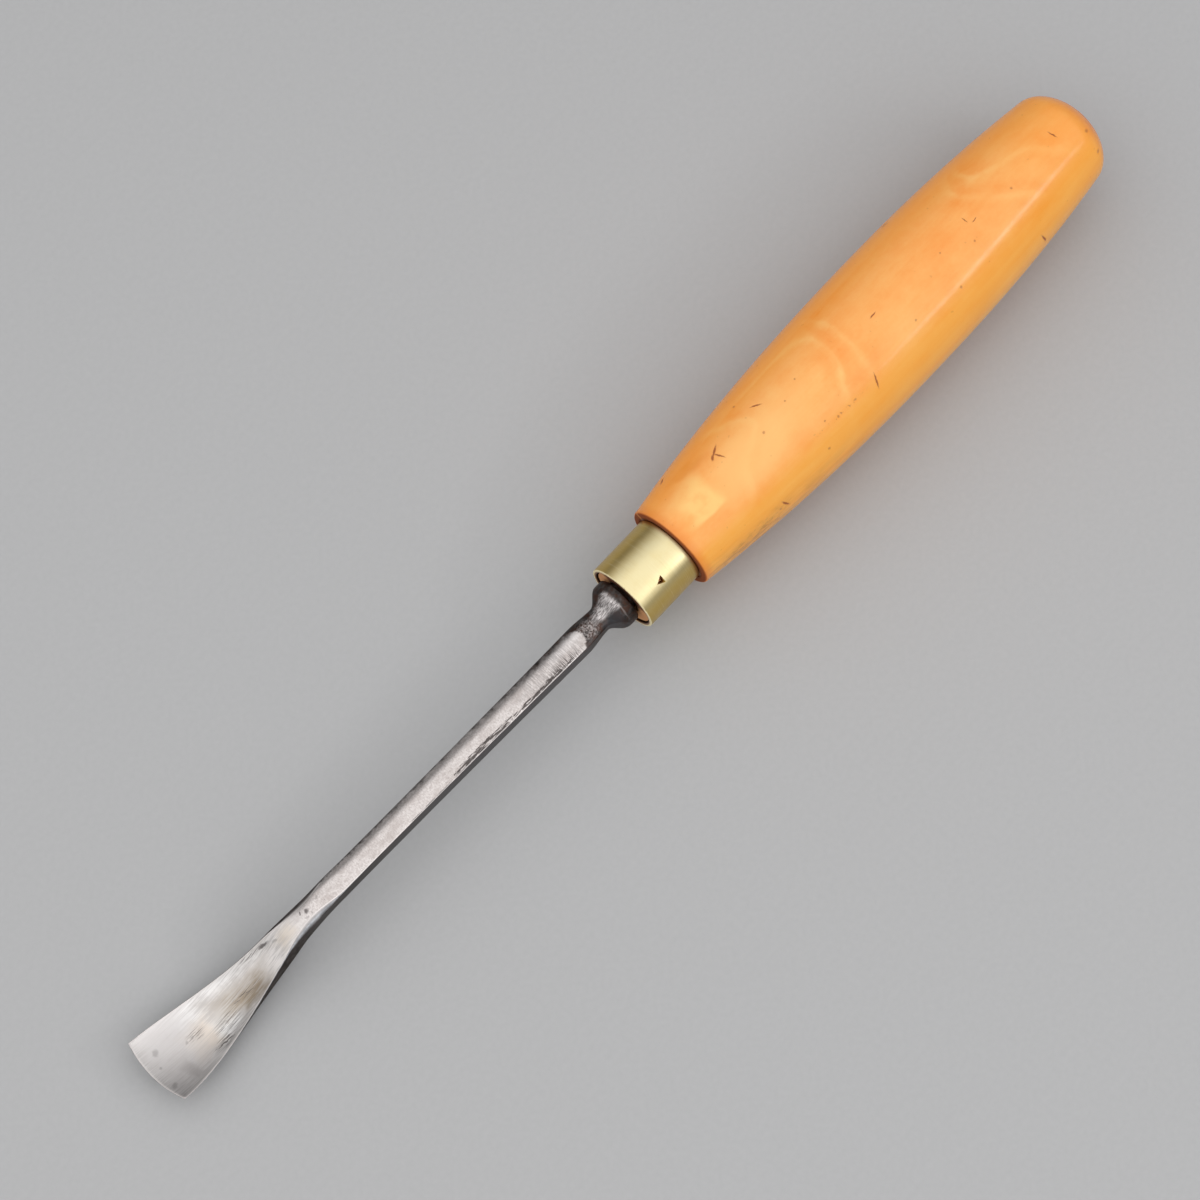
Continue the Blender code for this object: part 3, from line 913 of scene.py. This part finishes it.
def handle_grime(look, wood, flat, x, turn):
    """Brown smears on the right near the ferrule, and painted shade down the left side: faint dark streaks
    and a deeper orange.
    """
    smear = look.fade(look.noise(flat, (130, 620, 1), 5, 0.65), 0.36, 0.66)
    side = look.times(look.sector(turn, 54, 92), look.fade(x, -0.064, -0.028, 0.1, 0.7), smear)
    grains = look.fade(look.noise(flat, (480, 800, 1), 5, 0.7), 0.44, 0.66, 0.1, 0.6)
    darkened_area = look.times(look.mark(flat, area(*unrolled(-25, 80), 13, 3.4, 0.18)), grains)
    # Painted shade on the left side: faint dark streaks and a deeper, more saturated orange
    streaks = look.fade(look.noise(flat, (60, 1300, 1), 3), 0.35, 0.7)
    left_side_shade = look.times(look.sector(turn, -24, -60), look.sector(turn, -150, -100))
    return look.coat(
        wood,
        (side, 1.0, (0.6, 0.27, 0.05)),
        (darkened_area, 1.0, (0.4, 0.175, 0.038)),
        (look.times(look.sector(turn, -30, -85), streaks), 0.25, (0.7, 0.26, 0.035)),
        (left_side_shade, 0.84, (1.0, 0.36, 0.028)))


def butt_end(look, wood, place, x):
    """Redder end grain of the domed butt, with arcs of its growth rings."""
    arcs = look.noise(place, (60, 90, 420), 4, distortion=0.6)
    end = look.blend(look.fade(arcs, 0.34, 0.66), (0.74, 0.185, 0.016), (0.92, 0.285, 0.032))
    return look.coat(wood, (look.fade(x, -0.1268, -0.1318), 0.94, end))


def handle_dents(look, flat):
    """Nicks, specks, a row of fine dots and pores that show dark in the wood."""
    ragged = look.warp(flat, 1500, 0.0004)
    nicks = look.marks(ragged, [nick(*spot) for spot in HANDLE_NICKS])
    specks = look.marks(ragged, [nick(spot[:2], spot[:2], spot[2]) for spot in HANDLE_SPECKS])
    row = look.mark(flat, nick((-43, 38.5), (-60.5, 40), 0.45))
    dots = look.times(row, look.fade(look.noise(flat, 1700), 0.52, 0.64))
    pores = look.fade(look.noise(flat, 800, 1), 0.735, 0.79)
    return look.most(nicks, look.times(specks, 0.6), look.times(dots, 0.6), look.times(pores, 0.2))


def shoulder_face(look, wood, flat, x, radius):
    """Red-brown end face of the shoulder, darkest beside the ferrule, with a small pale chip."""
    depth = look.remap(radius, SEAT_RADIUS, SHOULDER_RADIUS)
    end = look.blend(look.fade(depth, 0.0, 0.3), (0.13, 0.034, 0.009), (0.25, 0.058, 0.012))
    end = look.blend(look.fade(depth, 0.76, 1.0), end, (0.52, 0.13, 0.022))
    glow = look.fade(x, SHOULDER_X - 0.0024, SHOULDER_X - 0.0004)
    face = look.fade(x, SHOULDER_X - 0.0004, SHOULDER_X - 0.00004)
    inside = look.math("LESS_THAN", radius, SEAT_RADIUS + 0.00005)
    seat = look.times(inside, look.above(x, SHOULDER_X - 0.001))
    chip = look.mark(flat, nick((-13.4, -71), (-13.5, -66), 0.28))
    wood = look.coat(
        wood,
        (glow, 0.6, (0.84, 0.255, 0.036)),
        (face, 1.0, end),
        (seat, 1.0, (0.3, 0.08, 0.018)),
        (chip, 0.45, (0.86, 0.42, 0.16)))
    return wood, face


def spigot_end(look, wood, place, x, turn, radius):
    """Bare end grain inside the ferrule, with painted shadow above the bolster under the ferrule's top."""
    ends = look.blend(look.noise(place, 1400, 3), (0.62, 0.28, 0.11), (0.92, 0.47, 0.215))
    # Painted shadow: the top of the recess is darkened, brown near the ferrule's wall and near black at the
    # bore
    shadow_tones = look.blend(look.fade(radius, 0.0039, 0.0048), (0.03, 0.012, 0.007), (0.17, 0.06, 0.025))
    aside = look.apart(turn, math.radians(7))
    darkened_area = look.times(look.sector(aside, 76, 52), look.above(x, -SPIGOT_RECESS - 0.0003))
    return look.blend(look.above(x, SHOULDER_X + 0.0002), wood, look.blend(darkened_area, ends, shadow_tones))


def boxwood():
    look = Look("boxwood_looks")
    place, x, turn, radius = look.round_place()
    flat = look.join(x, look.times(turn, ARC_RADIUS), 0.0)
    wood = look.blend(wood_tone(look, place, x, turn), (0.95, 0.315, 0.052), (1.0, 0.53, 0.165))
    wood = handle_patches(look, wood, flat, x, turn)
    wood = handle_grime(look, wood, flat, x, turn)
    wood = butt_end(look, wood, place, x)
    dents = handle_dents(look, flat)
    wood = look.coat(wood, (dents, 0.85, (0.3, 0.062, 0.012)))
    wood, face = shoulder_face(look, wood, flat, x, radius)
    wood = spigot_end(look, wood, place, x, turn, radius)
    polish = look.noise(place, 320, 3)
    gloss = look.raised(look.remap(polish, 0.3, 0.7, 0.17, 0.22), dents, 0.3)
    gloss = look.raised(gloss, face, 0.65)
    bump = look.bump(look.raised(polish, dents, -4), 0.00001)
    look.surface(Base_Color=wood, Roughness=gloss, Specular_IOR_Level=0.35, Normal=bump)
    return look.material


# Brass

def brass():
    look = Look("brass_looks")
    place, x, turn, radius = look.round_place()
    lines = look.noise(look.join(look.times(x, 5200), turn, 0.0), 1.0, 4, 0.65)
    cloud = look.noise(place, 420, 4, 0.6)
    # Painted light and shade: the brass is paler across the top and darker, more saturated down the sides
    lit_top = look.fade(look.apart(turn, 0.2), 0.95, 0.35)
    bore = FERRULE_DIAMETER / 2 - FERRULE_WALL
    copper = look.fade(radius, bore + 0.00042, bore + 0.00028)
    # Painted shade: the inside of the tube is darkened where it lies in shadow
    bore_shade = look.fade(radius, bore + 0.00012, bore + 0.00003)
    # Painted highlight: the eased front edge of the tube is paler and rougher, so that it shows as a light
    # line
    lip_highlight = look.times(look.above(radius, bore + 0.00036), look.above(x, -0.00014))
    metal = look.coat(
        look.blend(lit_top, (0.65, 0.458, 0.136), (0.803, 0.698, 0.408)),
        (look.fade(cloud, 0.42, 0.75), 0.3, (0.74, 0.59, 0.27)),
        (look.fade(lines, 0.52, 0.72), 0.28, (0.94, 0.86, 0.6)),
        (look.fade(lines, 0.46, 0.28), 0.28, (0.6, 0.46, 0.2)),
        (copper, 1.0, (0.42, 0.19, 0.07)),
        (bore_shade, 1.0, (0.05, 0.026, 0.014)),
        (lip_highlight, 1.0, (0.98, 0.88, 0.6)))
    gloss = look.raised(look.remap(lines, 0.3, 0.7, 0.28, 0.35), lip_highlight, 0.45)
    look.surface(Base_Color=metal, Metallic=1.0, Roughness=gloss, Normal=look.bump(lines, 0.000003))
    return look.material


# Steel

# Dark and faint marks, and pitted strips: start and end as millimetres along and across, and half width
DARK_SCARS = (
    ((83.2, -0.1), (83.6, 0.1), 0.55), ((93.9, -2.3), (91.9, -1.75), 0.45),
    ((112.4, 4.35), (107, 4.85), 0.24), ((84.3, -0.75), (84.6, -0.25), 0.22),
    ((109.6, 4), (108, 4.2), 0.16), ((102.8, 0.25), (100.6, 0.75), 0.1),
    ((101.6, 0.9), (99, 1.35), 0.09), ((104.2, 0.55), (102.4, 0.9), 0.08),
)
FAINT_SCARS = (
    ((91.5, -1.0), (90.6, -0.7), 0.34), ((83.7, 1.05), (84.5, 0.75), 0.26), ((82.6, 0.75), (82.9, 1.0), 0.24),
    ((80, -0.6), (80.6, -0.3), 0.3), ((108.4, 1.5), (106.3, 1.55), 0.16),
    ((113.3, -0.8), (113.7, -0.7), 0.4), ((114.7, -0.7), (115, -0.6), 0.36),
    ((120.1, -3.2), (120.4, -2.9), 0.75), ((121.4, -0.3), (121.5, -0.3), 0.36),
    ((121.8, 3.8), (122.2, 4.1), 0.7),
)
PITTED_STRIPS = (
    ((13, 2.3), (33, 2.05), 0.95), ((24, 2), (51, 1.6), 0.9), ((22, 2.4), (68, 2.1), 0.26),
)

# Polished patches and stains in the spoon, and one patch of painted light: area in millimetres, softness of
# the edge, colour and strength
SPOON_PATCHES = (
    ((106.3, 1.9, 3.2, 2.4, 0.25), 0.6, (0.96, 0.945, 0.93), 0.8),
    ((100.8, -4, 5.6, 1.0, -0.2), 0.6, (0.93, 0.91, 0.89), 0.7),
    ((112, -4.6, 2.6, 1.3, -0.15), 0.8, (0.9, 0.89, 0.885), 0.4),
    ((86.4, 0.2, 2, 1.4), 0.7, (0.76, 0.72, 0.7), 0.25),
    ((89.2, 0.3, 2.2, 1.3, 0.1), 0.6, (0.68, 0.59, 0.48), 0.55),
    # Painted light: this bright patch hides the edge of the lamps' reflection past the heel
    ((95, 1.3, 3.4, 2.2, -0.1), 0.8, (0.93, 0.895, 0.875), 0.92),
    ((102, 0.5, 6, 2.4, -0.22), 0.6, (0.39, 0.335, 0.278), 0.92),
    ((100.2, 1.9, 3.2, 1.5), 0.6, (0.32, 0.255, 0.182), 0.78),
    ((112.4, 0.9, 2.7, 2.9), 0.6, (0.7, 0.575, 0.45), 0.62),
    ((117.4, -1.2, 5.8, 6.2), 0.4, (0.6, 0.57, 0.56), 0.64),
    ((117.4, -4.4, 3.8, 2.8, -0.1), 0.8, (0.56, 0.535, 0.53), 0.55),
    ((119, 2.2, 3.4, 4.4), 0.7, (0.48, 0.45, 0.442), 0.36),
    ((117.6, 4, 0.9, 1.9, 0.3), 0.7, (0.33, 0.3, 0.29), 0.45),
)

# Areas of the spoon with fine dark scratches, in millimetres
SCRATCHED_AREAS = (
    (101, 0.7, 4.6, 1.3, -0.15), (106.8, 2.2, 4.6, 2.6, 0.1), (109.6, 4.2, 4.4, 1.8, 0.1),
    (95.8, -2.9, 3, 0.6, -0.2), (112.8, -0.6, 2.6, 1.6),
)

# Where looks change along the blade: the bolster's facet, the start of the ground face, the spoon, the bevel
FACET_RUN = (0.0023, 0.007)
GROUND_START = 0.0106
GROUND_START_BOW = 270
SPOON_RUN = (0.081, 0.09)
BEVEL_RUN = (0.1155, 0.1165)


def scars(look, vector, places):
    return look.marks(vector, [dash(*place) for place in places])


def ground_area(look, x, y, blotch):
    """Where the steel is ground bright: the top face from its rounded start, and the bevel under the edge."""
    jitter = look.times(look.centred(blotch), 0.0022)
    border = look.plus(
        look.fade(x, 0.014, 0.036, -0.00165, -0.00205),
        look.fade(x, 0.045, 0.068, 0.0, 0.00016),
        look.remap(x, 0.07, 0.088, 0.0, -0.0009),
        look.fade(x, 0.086, 0.094, 0.0, -0.02))
    inside = look.plus(look.minus(y, border), jitter)
    softness = look.remap(x, 0.04, 0.076, 0.0008, 0.00035)
    left = look.fade(look.math("DIVIDE", inside, softness), -1.0, 1.0)
    aside = look.minus(y, 0.0002)
    start = look.raised(GROUND_START, look.times(aside, aside), GROUND_START_BOW)
    past_start = look.plus(look.minus(x, start), jitter)
    top = look.times(look.attribute("crest"), left, look.fade(past_start, -0.0002, 0.0004))
    return look.most(top, look.times(look.attribute("under"), look.fade(x, *BEVEL_RUN)))


def bolster_facet(look, x, y, strokes):
    """Worn upper facet of the bolster: narrow towards the neck, soft on the left, clear-cut on the right."""
    ragged = look.raised(y, look.centred(strokes), 0.0018)
    left = look.remap(x, *FACET_RUN, -0.0024, -0.0008)
    right = look.remap(x, *FACET_RUN, 0.0023, 0.0008)
    return look.times(
        look.fade(x, 0.0017, 0.0029),
        look.fade(x, 0.0086, 0.0062),
        look.fade(look.minus(ragged, left), -0.0007, 0.0009),
        look.fade(look.minus(right, y), -0.0003, 0.0007))


def forged_skin(look, place, flat, x, y, blotch):
    """Dark scale of the forged parts, worn bright on the bolster's facet and along some edges, with painted
    sheen on the right side.
    """
    brown = look.fade(look.noise(place, 900, 4, 0.6), 0.4, 0.6)
    speckle = look.fade(look.noise(place, 3000, 4, 0.7), 0.4, 0.64)
    strokes = look.noise(place, (1100, 5200, 1100), 4, 0.65)
    worn = look.blend(look.fade(strokes, 0.36, 0.62), (0.17, 0.152, 0.147), (0.7, 0.66, 0.648))
    wavy = look.warp(flat, 700, 0.0008)
    collar = look.mark(wavy, dash((2.25, 0.9), (2.5, 4.7), 0.22))
    crease = look.mark(wavy, dash((8.7, -0.5), (8.25, 1.8), 0.3))
    # Painted sheen: the right side of the shank is lightened to grey for the light it reflects
    right = look.fade(y, 0.0018, 0.0023)
    right_side_sheen = look.times(right, look.fade(x, 0.078, 0.05), look.fade(x, 0.008, 0.014))
    wedge = look.times(look.attribute("wedge"), look.fade(x, 0.066, 0.08))
    grey = look.blend(look.fade(blotch, 0.35, 0.65), (0.5, 0.51, 0.54), (0.8, 0.815, 0.85))
    return look.coat(
        look.blend(look.fade(blotch, 0.32, 0.72), (0.026, 0.021, 0.018), (0.125, 0.11, 0.105)),
        (brown, look.fade(x, 0.03, 0.01, 0.25, 0.85), (0.072, 0.036, 0.025)),
        (look.times(look.mark(flat, area(9.4, 0.2, 3.2, 2.5)), speckle), 0.9, (0.46, 0.415, 0.4)),
        (bolster_facet(look, x, y, strokes), 1.0, worn),
        (look.mark(flat, area(5, 2.9, 3, 2.2)), 0.55, (0.105, 0.11, 0.12)),
        (look.raised(look.times(collar, 0.28), crease, 0.45), 1.0, (0.48, 0.44, 0.42)),
        (right_side_sheen, 0.45, (0.185, 0.175, 0.182)),
        (wedge, 0.95, grey))


def shank_face(look, place, flat):
    """Pinkish ground face of the shank: mottled, hatched at its start and pitted along its right edge."""
    mottle = look.fade(look.noise(place, (3600, 2160, 3600), 3, 0.7), 0.3, 0.68)
    cloud = look.fade(look.noise(place, (300, 600, 600), 4, 0.6), 0.42, 0.7)
    fresh = look.mark(flat, area(14.5, -0.6, 7, 1.7))
    chatter = look.noise(place, (5200, 520, 500), 3, 0.6)
    hatch = look.times(look.mark(flat, area(20, 0.6, 12, 2.6)), look.fade(chatter, 0.4, 0.6))
    cuts = look.times(look.mark(flat, dash((12.6, 2.1), (22, 2.2), 1.7)), look.fade(chatter, 0.44, 0.56))
    grain = look.times(look.centred(look.noise(place, (520, 3200, 800), 5, 0.75)), 3.4)
    pits = look.fade(look.raised(grain, scars(look, flat, PITTED_STRIPS), 0.8), 0.5, 0.78)
    return look.coat(
        look.blend(mottle, (0.52, 0.47, 0.45), (0.73, 0.684, 0.662)),
        (cloud, 0.55, (0.43, 0.375, 0.352)),
        (fresh, 0.35, (0.86, 0.825, 0.812)),
        (hatch, 0.5, (0.26, 0.235, 0.226)),
        (cuts, 0.85, (0.11, 0.096, 0.092)),
        (pits, 0.92, (0.06, 0.05, 0.047)))


def spoon_face(look, place, flat, scratch):
    """Bright ground hollow of the spoon: brushed lengthwise, cloudy, with stains, polished patches and a
    patch of painted light.
    """
    face = look.blend(look.fade(scratch, 0.34, 0.68), (0.54, 0.512, 0.496), (0.79, 0.762, 0.745))
    cloud = look.fade(look.noise(place, (252, 420, 420), 5, 0.6), 0.44, 0.72)
    face = look.coat(face, (cloud, 0.5, (0.5, 0.465, 0.448)))
    wash = look.warp(flat, 520, 0.002, 4)
    grain = look.fade(scratch, 0.3, 0.6, 0.35, 1.0)
    for spot, edge, tint, strength in SPOON_PATCHES:
        face = look.coat(face, (look.times(look.patch(wash, area(*spot), edge), grain), strength, tint))
    lines = look.fade(look.noise(place, (260, 6500, 500), 3), 0.52, 0.6)
    ticks = look.times(lines, look.marks(flat, [area(*spot) for spot in SCRATCHED_AREAS]))
    return look.coat(face, (ticks, 0.7, (0.15, 0.128, 0.118)))


def steel():
    look = Look("steel_looks")
    place = look.place()
    x, y, _ = look.split(place)
    flat = look.join(x, y, 0.0)
    blotch = look.noise(place, 700, 5, 0.65)
    scratch = look.noise(place, (170, 4200, 400), 4, 0.6)
    ground = ground_area(look, x, y, blotch)
    on_spoon = look.fade(x, *SPOON_RUN)
    ragged = look.warp(flat, 1700, 0.0006, 3)
    dark = look.times(scars(look, ragged, DARK_SCARS), 0.85)
    faint = look.times(scars(look, ragged, FAINT_SCARS), 0.32)
    # Painted highlight: both upper edges and the cutting edge are lightened to near white, and rough on the
    # spoon, so they show as a soft light line
    edges = look.times(look.attribute("rim"), look.fade(x, 0.012, 0.016, 0.0, 0.8))
    bright = look.coat(
        look.blend(on_spoon, shank_face(look, place, flat), spoon_face(look, place, flat, scratch)),
        (look.most(dark, faint), 1.0, (0.115, 0.1, 0.096)),
        (edges, 1.0, (0.9, 0.855, 0.835)))
    metal = look.blend(ground, forged_skin(look, place, flat, x, y, blotch), bright)
    rough_skin = look.remap(blotch, 0.3, 0.7, 0.4, 0.55)
    gloss = look.blend(ground, rough_skin, look.remap(scratch, 0.3, 0.7, 0.29, 0.4))
    gloss = look.raised(gloss, look.patch(flat, area(93.4, 0.6, 7, 5), 0.8), 0.26)
    gloss = look.blend(look.times(edges, on_spoon), gloss, (0.75, 0.75, 0.75))
    bump = look.bump(look.blend(ground, blotch, scratch), 0.000015)
    look.surface(Base_Color=metal, Metallic=1.0, Roughness=gloss, Normal=bump)
    return look.material


def floor_paint():
    look = Look("floor_paint")
    grain = look.noise(look.place(), 900, 3)
    grey = look.blend(grain, (0.42, 0.421, 0.424), (0.46, 0.461, 0.464))
    look.surface(Base_Color=grey, Roughness=0.65, Normal=look.bump(grain, 0.00005))
    return look.material


# Scene

def add_floor():
    points = [(FLOOR_REACH * x, FLOOR_REACH * y, 0.0) for x, y in ((-1, -1), (1, -1), (1, 1), (-1, 1))]
    floor = mesh_object("floor", points, [(0, 1, 2, 3)], Matrix.Identity(4))
    floor.data.materials.append(floor_paint())


def add_lamp(name, edges, radiance, height):
    """Level soft light above the floor: its left, right, bottom and top edges lie square to the frame."""
    left, right, bottom, top = edges
    lamp = bpy.data.lights.new(name, "AREA")
    lamp.shape = "RECTANGLE"
    lamp.size = right - left
    lamp.size_y = top - bottom
    lamp.energy = radiance * math.pi * lamp.size * lamp.size_y
    holder = bpy.data.objects.new(name, lamp)
    middle = Matrix.Translation(((left + right) / 2, (bottom + top) / 2, height))
    holder.matrix_world = Matrix.Rotation(VIEW_AZIMUTH, 4, "Z") @ middle
    holder.visible_camera = False
    bpy.context.scene.collection.objects.link(holder)


def add_light():
    """An even room, soft lamps that dim towards the top left, and a narrow strip on the right."""
    world = bpy.data.worlds.new("room")
    world.use_nodes = True
    world.node_tree.nodes["Background"].inputs["Color"].default_value = colour(*ROOM_SHADE)
    bpy.context.scene.world = world
    for index, (edges, radiance) in enumerate(SOFT_LAMPS):
        add_lamp(f"softbox_{index}", edges, radiance, LAMP_HEIGHT + index * LAMP_GAP)
    add_lamp("strip", STRIP_EDGES, STRIP_RADIANCE, STRIP_HEIGHT)


def add_camera(place):
    azimuth, elevation = VIEW_AZIMUTH, VIEW_ELEVATION
    back = Vector((math.sin(azimuth) * math.cos(elevation), -math.cos(azimuth) * math.cos(elevation),
                   math.sin(elevation)))
    right = Vector((math.cos(azimuth), math.sin(azimuth), 0.0))
    up = back.cross(right)
    middle = FRAME_PIXELS / 2
    aside = right * (MOUTH_PIXEL[0] - middle) + up * (middle - MOUTH_PIXEL[1])
    view = bpy.data.cameras.new("camera")
    view.sensor_width = SENSOR_WIDTH
    view.lens = SENSOR_WIDTH * FOCAL_PIXELS / FRAME_PIXELS
    view.clip_start = CLIP_START
    holder = bpy.data.objects.new("camera", view)
    holder.location = place.translation + (back - aside / FOCAL_PIXELS) * VIEW_DISTANCE
    holder.rotation_mode = "QUATERNION"
    holder.rotation_quaternion = (-back).to_track_quat("-Z", "Y")
    bpy.context.scene.collection.objects.link(holder)
    bpy.context.scene.camera = holder


def build():
    place = tool_place()
    handle = make_handle(place)
    ferrule = make_ferrule(place)
    blade = make_blade(place)
    prick = prick_cutter(place)
    bpy.context.view_layer.update()
    cut(handle, prick)
    cut(ferrule, prick)
    bpy.data.objects.remove(prick)
    dress(handle, "handle", boxwood())
    dress(ferrule, "ferrule", brass())
    dress(blade, "blade", steel())
    add_floor()
    add_light()
    add_camera(place)
    bpy.context.scene.view_settings.view_transform = "Standard"


build()
